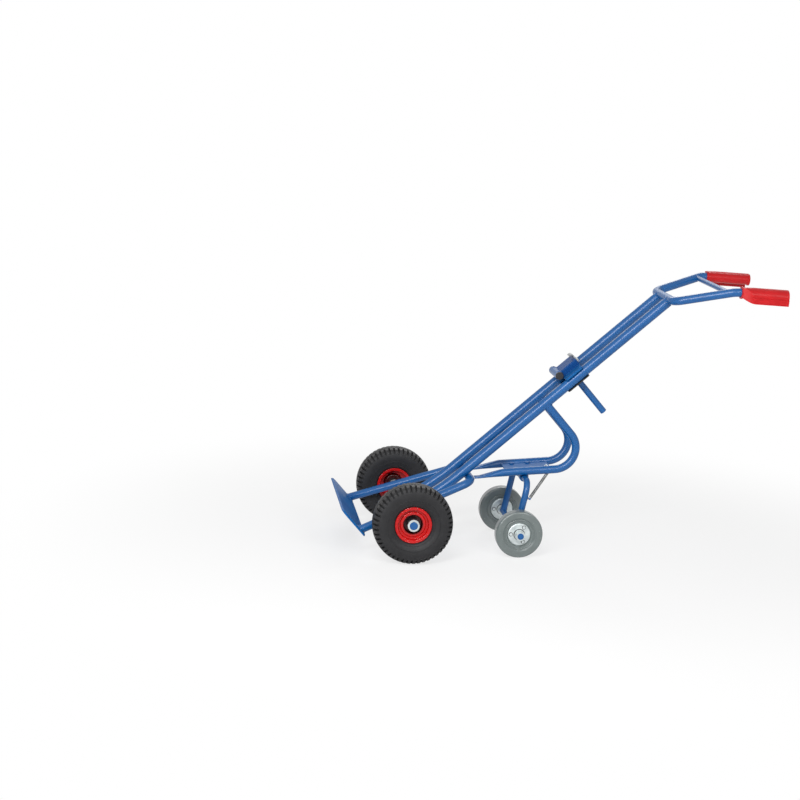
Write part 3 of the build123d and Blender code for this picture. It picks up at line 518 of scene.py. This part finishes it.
def tube_seams(root, aim, branch_r, spot, run, main_r):
    """The runs of the line where a tube from root along aim first meets a tube through spot along run."""
    aim = aim.normalized()
    run = run.normalized()
    across = aim.cross(run).normalized()
    rise = across.cross(aim)
    slope = aim - run * aim.dot(run)
    met = []
    for turn in circle(SEAM_STEPS):
        start = root + across * (branch_r * cos(turn)) + rise * (branch_r * sin(turn))
        gap = start - spot
        gap = gap - run * gap.dot(run)
        a = slope.dot(slope)
        b = gap.dot(slope)
        under = b * b - a * (gap.dot(gap) - main_r * main_r)
        met.append(start + aim * ((-b - sqrt(under)) / a) if under > 0 else None)
    if None not in met:
        return [met + met[:1]]
    first = met.index(None)
    runs = [[]]
    for point in met[first:] + met[:first]:
        if point is None:
            runs.append([])
        else:
            runs[-1].append(point)
    return [points for points in runs if len(points) >= SHORTEST_RUN]


def plane_seam(root, aim, branch_r, spot, normal):
    """The ring where a tube from root along aim meets a plane."""
    aim = aim.normalized()
    across = aim.cross(normal).normalized()
    rise = across.cross(aim)
    ring = []
    for turn in circle(SEAM_STEPS):
        start = root + across * (branch_r * cos(turn)) + rise * (branch_r * sin(turn))
        ring.append(start + aim * ((spot - start).dot(normal) / aim.dot(normal)))
    return ring + ring[:1]


def with_other_side(seams):
    return seams + [[other_side(spot) for spot in seam] for seam in seams]


# Handle on the rails' heads, brace between its arms
rail_mid = on_rails(HANDLE_S / 2, RAIL_H, -RAIL_Y)
handle_mid = on_rails(HANDLE_S, HANDLE_H)
head_seams = tube_seams(rail_mid, UP_RAIL, RAIL_R, handle_mid, Y_DIR, HANDLE_R)
welds("welds_handle", with_other_side(head_seams), FULL_BEAD, "frame")
arm_low = on_rails(HANDLE_S, HANDLE_H, -HANDLE_HALF)
arm = axle + GRIP_ARM - arm_low
brace_end = arm_low + arm * ((axle.x + BRACE_X - arm_low.x) / arm.x)
brace_mid = Vector((brace_end.x, 0, brace_end.z))
brace_seams = tube_seams(brace_mid, -Y_DIR, BRACE_R, brace_end, arm, HANDLE_R)
welds("welds_brace", with_other_side(brace_seams), LIGHT_BEAD, "frame")

# Bows: round heads under the rails, pressed tips on the lower frame, stitches along their plate
STITCH_STARTS = (-0.052, 0.004, 0.060)
STITCH_LEN = 0.028
cross_h = RAIL_H - RAIL_R - WELD_GAP - FRAME_R
cross_tube = on_rails(CROSS_S, cross_h)
below_rail = on_rails(BOW_TOP_S, RAIL_H - FAR_OUT, -RAIL_Y)
bow_seams = tube_seams(below_rail, OFF_RAIL, BOW_R, rail_mid, UP_RAIL, RAIL_R)
welds("welds_bow_heads", with_other_side(bow_seams), FULL_BEAD, "frame")
cross_p = (cross_tube - pivot).dot(ALONG_BOW)
cross_q = (cross_tube - pivot).dot(OFF_BOW)
tip_seam = []
for turn in circle(SEAM_STEPS) + [0.0]:
    q = TONGUE_Q + TONGUE_HALF_H * sin(turn)
    p = cross_p + sqrt((FRAME_R + WELD_GAP) ** 2 - (q - cross_q) ** 2)
    tip_seam.append(on_bow(p, q, -RAIL_Y + TONGUE_HALF_W * cos(turn)))
# The tip welds are pale grey: painted reflection of the white surroundings on the flat tips
welds("welds_bow_tips", with_other_side([tip_seam]), MEDIUM_BEAD, "frame", pale_reflection_weld)
stitches = []
for start in STITCH_STARTS:
    for q in (BOW_Q - PLATE_T / 2, BOW_Q + PLATE_T / 2):
        stitches.append([on_bow(p, q, -RAIL_Y + BOW_R) for p in (start, start + STITCH_LEN)])
welds("welds_bow_plate", with_other_side(stitches), LIGHT_BEAD, "frame")

# Lower frame under the rails, on the toe plate and on the axle
CROSS_SEAM_HALF = 0.010
CROSS_SEAM_S = 0.0058
CROSS_SEAM_STEPS = 8
cross_seams = []
for s in (-CROSS_SEAM_S, CROSS_SEAM_S):
    line = []
    for k in range(CROSS_SEAM_STEPS + 1):
        y = (2 * k / CROSS_SEAM_STEPS - 1) * CROSS_SEAM_HALF
        rail_low = RAIL_H - sqrt(RAIL_R ** 2 - y ** 2)
        frame_top = cross_h + sqrt(FRAME_R ** 2 - s ** 2)
        line.append(on_rails(CROSS_S + s, (rail_low + frame_top) / 2, -RAIL_Y + y))
    cross_seams.append(line)
welds("welds_cross", with_other_side(cross_seams), FULL_BEAD, "frame")
leg_top = on_rails(CROSS_S, cross_h, -CROSS_HALF)
leg_foot = on_rails(TOE_S, LEG_TOE_H, -LEG_TOE_Y)
leg = leg_foot - leg_top
toe_seam = plane_seam(leg_top, leg, FRAME_R, on_rails(TOE_S, 0), UP_RAIL)
welds("welds_toe", with_other_side([toe_seam]), HEAVY_BEAD, "frame")
rail_bend = on_rails(RAIL_BEND_S, RAIL_H, -RAIL_Y)
rail_tail = on_rails(RAIL_TAIL_S, RAIL_TAIL_H, -RAIL_Y)
past_wheel = axle - Y_DIR
axle_seams = []
for spot, run, tube_r in ((leg_top, leg, FRAME_R), (rail_tail, rail_bend - rail_tail, RAIL_R)):
    axle_seams += tube_seams(past_wheel, Y_DIR, AXLE_R, spot, run, tube_r)
    axle_seams += tube_seams(axle, -Y_DIR, AXLE_R, spot, run, tube_r)
welds("welds_axle", with_other_side(axle_seams), MEDIUM_BEAD, "frame")

# Fork legs on the support axle
up_leg = support - Y_DIR * FORK_LEG_Y + leg_dir * FAR_OUT
fork_seams = tube_seams(up_leg, -leg_dir, FORK_R, support, Y_DIR, SUPPORT_AXLE_R)
welds("welds_fork", with_other_side(fork_seams), LIGHT_BEAD, "support_fork")

# Carriage: bracket on its plate, rest bar in the bracket
SEAM_INSET = 0.002
BAR_CLEAR = 0.018
BAR_SEAM_REACH = radians(78)
BAR_SEAM_STEPS = 24
bracket_ends = (BAR_S + BAR_CLEAR, BRACKET_BACK_S - SEAM_INSET)
bracket_seam = [on_rails(s, BRACKET_LOW_H, -BRACKET_HALF) for s in bracket_ends]
bar_seam = []
for k in range(BAR_SEAM_STEPS + 1):
    turn = (2 * k / BAR_SEAM_STEPS - 1) * BAR_SEAM_REACH
    h = BAR_H + BAR_R * sin(turn)
    if h > BRACKET_LOW_H + SEAM_INSET:
        bar_seam.append(on_rails(BAR_S + BAR_R * cos(turn), h, -BRACKET_HALF))
carriage_seams = with_other_side([bracket_seam, bar_seam])
welds("welds_carriage", carriage_seams, FINE_BEAD, "hook_carriage", deep_blue)

# Spring: close-wound wire between a bent bolt under the plate and a pin welded on the left leg
WIRE_R = 0.0009
WIRE_SIDES = 8
COIL_R = 0.00425
COIL_TURNS = 48
COIL_STEPS = 14
HOOK_BEND = 0.003
HOOK_NECK = 0.004
HOOK_STEPS = 12
BEND_REACH = 1.66 * HOOK_BEND  # length of the tangents that make a quarter bend nearly round
SETTLE_STEPS = 6

bolt_low = on_bow(HOOK_BOLT_P, BOW_Q - PLATE_T / 2 - HOOK_DROP, HOOK_BOLT_Y)
pin_root = support + leg_dir * PIN_UP_LEG - Y_DIR * FORK_LEG_Y
hook_top, hook_low = bolt_low, pin_root
for settle in range(SETTLE_STEPS):
    pull = (hook_low - hook_top).normalized()
    rod_dir = pull.cross(Z_DIR).normalized()
    pin_dir = (X_DIR - pull * pull.x).normalized()
    hook_top = bolt_low - rod_dir * HOOK_ROD_REACH
    hook_low = pin_root + pin_dir * (FORK_R + PIN_REACH)
pin_seams = tube_seams(hook_low, -pin_dir, PIN_R, pin_root, leg_dir, FORK_R)
welds("weld_pin", pin_seams, PIN_BEAD, "support_fork")

spoke_y = -pull.cross(rod_dir).normalized()
spoke_x = spoke_y.cross(pull)
low_spoke = -pull.cross(pin_dir).normalized()
hook_len = HOOK_BEND + HOOK_NECK
coil_len = (hook_low - hook_top).length - 2 * hook_len
coil_angle = 2 * pi * COIL_TURNS + atan2(low_spoke.dot(spoke_x), low_spoke.dot(spoke_y))
coil_climb = coil_len / coil_angle


def coil_point(angle):
    spoke = spoke_y * cos(angle) + spoke_x * sin(angle)
    return hook_top + pull * (hook_len + coil_climb * angle) + spoke * COIL_R


def coil_way(angle):
    round_it = spoke_x * cos(angle) - spoke_y * sin(angle)
    return (round_it * COIL_R + pull * coil_climb).normalized()


def eased(start, start_way, end, end_way):
    """A bend of the wire from one straight to the next."""
    out = []
    for k in range(HOOK_STEPS):
        t = k / HOOK_STEPS
        way_in = start_way * (BEND_REACH * (t - 2 * t ** 2 + t ** 3))
        way_out = end_way * (BEND_REACH * (t ** 3 - t ** 2))
        out.append(start.lerp(end, 3 * t ** 2 - 2 * t ** 3) + way_in + way_out)
    return out


def hook_arc(centre, first, crown):
    """Half a turn from first, over the crown, to the far side."""
    turns = [pi * k / HOOK_STEPS for k in range(HOOK_STEPS + 1)]
    return [centre + (first * cos(turn) + crown * sin(turn)) * COIL_R for turn in turns]


top_mid = hook_top - spoke_x * HOOK_BEND
neck_top = top_mid + spoke_y * COIL_R + pull * HOOK_NECK
last_way = coil_way(coil_angle)
low_mid = hook_low + (last_way - pull * last_way.dot(pull)).normalized() * HOOK_BEND
neck_low = low_mid + low_spoke * COIL_R - pull * HOOK_NECK
wire = hook_arc(top_mid, -spoke_y, -pull)
wire += eased(neck_top, pull, coil_point(0), coil_way(0))
coil_steps = COIL_TURNS * COIL_STEPS
wire += [coil_point(coil_angle * k / coil_steps) for k in range(coil_steps)]
wire += eased(coil_point(coil_angle), last_way, neck_low, pull)
wire += hook_arc(low_mid, low_spoke, pull)
spring_shape = Shape()
spring_shape.add(*swept(wire, [WIRE_R] * len(wire), WIRE_SIDES))
spring = spring_shape.piece("spring", spring_wire)
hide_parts("support_spring")
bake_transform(spring)

# Rings moulded on the walls of the main tyres
RING_RADII = (0.0690, 0.0835, 0.0865)
RING_HALF_W = 0.0011
RING_PROUD = 0.0007
RING_SUNK = 0.0004
RING_STEPS = 120
RING_SECTION = 7


def wall_rings(side):
    tyre = frame["nodes"][f"main_tyre_{side}"]
    surface = BVHTree.FromObject(tyre, bpy.context.evaluated_depsgraph_get())
    centre = middle(f"main_tyre_{side}")
    shape = Shape()
    for outward in (-1, 1):
        for ring_r in RING_RADII:
            probe = centre + X_DIR * ring_r + Y_DIR * (outward * FAR_OUT)
            wall_y = surface.ray_cast(probe, -Y_DIR * outward)[0].y
            points, faces = [], []
            for turn in circle(RING_STEPS):
                spoke = X_DIR * cos(turn) + Z_DIR * sin(turn)
                for j in range(RING_SECTION):
                    bend = pi * j / (RING_SECTION - 1)
                    lift = (RING_PROUD + RING_SUNK) * sin(bend) - RING_SUNK
                    spot = axle + spoke * (ring_r + RING_HALF_W * cos(bend))
                    points.append(Vector((spot.x, wall_y + outward * lift, spot.z)))
            for k in range(RING_STEPS):
                ahead = (k + 1) % RING_STEPS
                for j in range(RING_SECTION - 1):
                    a = k * RING_SECTION + j
                    b = ahead * RING_SECTION + j
                    face = (a, b, b + 1, a + 1)
                    faces.append(face if outward > 0 else tuple(reversed(face)))
            shape.add(points, faces)
    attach(shape.piece(f"tyre_rings_{side}", tyre_black), f"main_wheel_{side}")


for side in SIDES:
    wall_rings(side)

# Dark rings round the rivets and hubs of the support wheels: painted shade for the shadow in their gaps
RIVET_COUNT = 3
RIVET_REACH = 0.028
RIVET_TURN = radians(-30)
RIVET_RING_R = 0.0054
HUB_RING_R = 0.0176
SHADE_RING_R = 0.0014
SHADE_RING_STEPS = 40
SHADE_RING_SIDES = 8


def wheel_shade_rings(side):
    low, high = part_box(f"disc_rivets_{side}")
    face_low, face_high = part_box(f"disc_outer_{side}")
    outer_y = face_low[1] if side == "left" else face_high[1]
    mid_y = (low[1] + high[1]) / 2
    spots = [(Vector((0, 0, 0)), HUB_RING_R)]
    for rivet in circle(RIVET_COUNT):
        turn = RIVET_TURN + rivet
        spots.append(((Z_DIR * cos(turn) - X_DIR * sin(turn)) * RIVET_REACH, RIVET_RING_R))
    shape = Shape()
    for face_y in (outer_y, 2 * mid_y - outer_y):
        for spot, reach in spots:
            centre = Vector((support.x, face_y, support.z)) + spot
            turns = circle(SHADE_RING_STEPS)
            ring = [centre + (X_DIR * cos(turn) + Z_DIR * sin(turn)) * reach for turn in turns]
            ring.append(ring[0])
            shape.add(*swept(ring, [SHADE_RING_R] * len(ring), SHADE_RING_SIDES))
    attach(shape.piece(f"disc_shade_rings_{side}", gap_shade_steel), f"support_wheel_{side}")


for side in SIDES:
    wheel_shade_rings(side)

# Camera at the photograph's place, from a fit to the wheels, grips and rails
CAMERA_SPOT = Vector((-0.79356, -5.89121, 1.61345))
CAMERA_YAW = radians(7.3863)
CAMERA_PITCH = radians(10.8215)
CAMERA_ROLL = radians(3.5677)
LENS_MM = 82.23
SENSOR_MM = 36.0
flat_ahead = Vector((sin(CAMERA_YAW), cos(CAMERA_YAW), 0))
flat_right = Vector((cos(CAMERA_YAW), -sin(CAMERA_YAW), 0))
ahead = flat_ahead * cos(CAMERA_PITCH) - Z_DIR * sin(CAMERA_PITCH)
above = flat_ahead * sin(CAMERA_PITCH) + Z_DIR * cos(CAMERA_PITCH)
right = flat_right * cos(CAMERA_ROLL) + above * sin(CAMERA_ROLL)
upright = above * cos(CAMERA_ROLL) - flat_right * sin(CAMERA_ROLL)
camera_data = bpy.data.cameras.new("camera")
camera_data.lens = LENS_MM
camera_data.sensor_width = SENSOR_MM
camera = bpy.data.objects.new("camera", camera_data)
turned = Matrix((right, upright, -ahead)).transposed()
camera.matrix_world = Matrix.Translation(CAMERA_SPOT + X_DIR * axle.x) @ turned.to_4x4()
bpy.context.scene.collection.objects.link(camera)
bpy.context.scene.camera = camera

# Pale floor that keeps the shadow and fades into white, white surroundings, soft lamps
FLOOR_HALF = 30.0
FLOOR_COLOUR = (0.9, 0.9, 0.9, 1)
FADE_FROM = 0.7
FADE_TO = 1.9
FLOOR_GLOW = 0.72
SKY_COLOUR = (1, 1, 1, 1)
AMBIENT = 0.24


def seen_directly(tree):
    """1 for camera, mirror and glass rays."""
    path = new_node(tree, "ShaderNodeLightPath")
    total = path.outputs["Is Camera Ray"]
    for kind in ("Is Glossy Ray", "Is Transmission Ray"):
        larger = new_node(tree, "ShaderNodeMath", operation="MAXIMUM")
        tree.links.new(total, larger.inputs[0])
        tree.links.new(path.outputs[kind], larger.inputs[1])
        total = larger.outputs["Value"]
    return total


def pale_floor():
    """Part matt, to keep the shadow near the object, and part white glow, which takes over further out."""
    material = bpy.data.materials.new("pale_floor")
    material.use_nodes = True
    tree = material.node_tree
    tree.nodes.clear()
    matt = new_node(tree, "ShaderNodeBsdfDiffuse")
    matt.inputs["Color"].default_value = FLOOR_COLOUR
    glow = new_node(tree, "ShaderNodeEmission")
    place = new_node(tree, "ShaderNodeTexCoord")
    reach = new_node(tree, "ShaderNodeVectorMath", operation="LENGTH")
    tree.links.new(place.outputs["Object"], reach.inputs[0])
    fade = new_node(tree, "ShaderNodeMapRange", interpolation_type="SMOOTHSTEP")
    fade.inputs["From Min"].default_value = FADE_FROM
    fade.inputs["From Max"].default_value = FADE_TO
    fade.inputs["To Min"].default_value = FLOOR_GLOW
    tree.links.new(reach.outputs["Value"], fade.inputs["Value"])
    share = new_node(tree, "ShaderNodeMath", operation="MULTIPLY")
    tree.links.new(seen_directly(tree), share.inputs[0])
    tree.links.new(fade.outputs["Result"], share.inputs[1])
    mixed = new_node(tree, "ShaderNodeMixShader")
    tree.links.new(share.outputs["Value"], mixed.inputs[0])
    tree.links.new(matt.outputs["BSDF"], mixed.inputs[1])
    tree.links.new(glow.outputs["Emission"], mixed.inputs[2])
    out = new_node(tree, "ShaderNodeOutputMaterial")
    tree.links.new(mixed.outputs["Shader"], out.inputs["Surface"])
    return material


floor_mesh = bpy.data.meshes.new("floor")
corners = [(-FLOOR_HALF, -FLOOR_HALF, 0), (FLOOR_HALF, -FLOOR_HALF, 0)]
corners += [(FLOOR_HALF, FLOOR_HALF, 0), (-FLOOR_HALF, FLOOR_HALF, 0)]
floor_mesh.from_pydata(corners, [], [(0, 1, 2, 3)])
floor_mesh.materials.append(pale_floor())
floor = bpy.data.objects.new("floor", floor_mesh)
bpy.context.scene.collection.objects.link(floor)

world = bpy.data.worlds.new("studio")
world.use_nodes = True
sky = world.node_tree
background = sky.nodes["Background"]
background.inputs["Color"].default_value = SKY_COLOUR
level = new_node(sky, "ShaderNodeMapRange")
sky.links.new(seen_directly(sky), level.inputs["Value"])
level.inputs["To Min"].default_value = AMBIENT
sky.links.new(level.outputs["Result"], background.inputs["Strength"])
bpy.context.scene.world = world


def lamp(name, spot, target, size, watts, roll=0.0):
    data = bpy.data.lights.new(name, "AREA")
    data.shape = "RECTANGLE"
    data.size, data.size_y = size
    data.energy = watts
    made = bpy.data.objects.new(name, data)
    made.location = spot
    aim = (Vector(target) - Vector(spot)).to_track_quat("-Z", "Y")
    made.rotation_euler = (aim @ Quaternion(Z_DIR, roll)).to_euler()
    bpy.context.scene.collection.objects.link(made)


lamp("key", spot=(-1.2, -2.2, 3.6), target=(0.0, 0.0, 0.3), size=(2.0, 1.4), watts=9.0)
lamp(
    "rail_strip",
    spot=(-1.4, -2.4, 1.7),
    target=(-0.1, 0.0, 0.5),
    size=(2.4, 0.42),
    watts=61.0,
    roll=radians(49),
)
lamp("level_strip", spot=(0.8, -2.6, 1.9), target=(0.2, 0.0, 0.5), size=(1.3, 0.42), watts=21.0)
lamp("back", spot=(0.4, 3.0, 2.6), target=(0.0, 0.0, 0.4), size=(2.4, 1.2), watts=40.0)

bpy.context.scene.view_settings.view_transform = "Standard"
